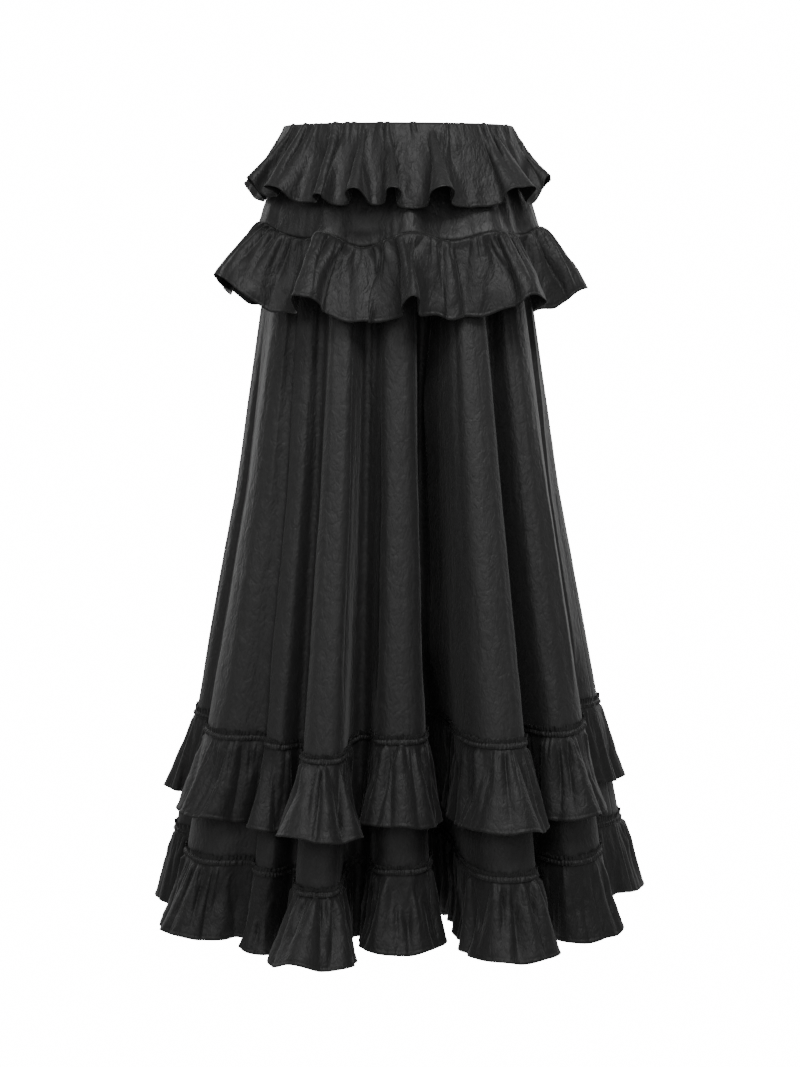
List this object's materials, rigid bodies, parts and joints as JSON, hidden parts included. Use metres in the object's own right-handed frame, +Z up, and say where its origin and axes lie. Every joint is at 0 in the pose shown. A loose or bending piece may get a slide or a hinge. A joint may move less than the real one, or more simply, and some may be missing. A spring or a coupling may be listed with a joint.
{
  "type": "tiered maxi skirt",
  "caption": "Long black taffeta skirt with an elastic waist and gathered ruffle tiers, hanging in deep folds as when worn, hollow and open at waist and hem",
  "frame": {"origin": "middle of the waist opening, at the height of its side and back edge", "axes": "+Z up, -Y towards the front of the skirt, +X towards a viewer's right who looks at the front"},
  "size_m": [0.5976, 0.5271, 0.9294],
  "materials": {
    "taffeta_body": "black crinkled taffeta with a soft sheen",
    "taffeta_ruffle": "black crinkled taffeta with a soft sheen, gathered",
    "taffeta_casing": "black taffeta, folded over the elastic"
  },
  "bodies": {
    "root": {"waist_casing": "taffeta_casing", "ruffle_1_front": "taffeta_ruffle", "ruffle_1_back": "taffeta_ruffle", "yoke_front": "taffeta_body", "yoke_back": "taffeta_body", "ruffle_2_front": "taffeta_ruffle", "ruffle_2_back": "taffeta_ruffle", "skirt_front": "taffeta_body", "skirt_back": "taffeta_body", "ruffle_3_front": "taffeta_ruffle", "ruffle_3_back": "taffeta_ruffle", "ruffle_4_front": "taffeta_ruffle", "ruffle_4_back": "taffeta_ruffle"}
  },
  "joints": []
}
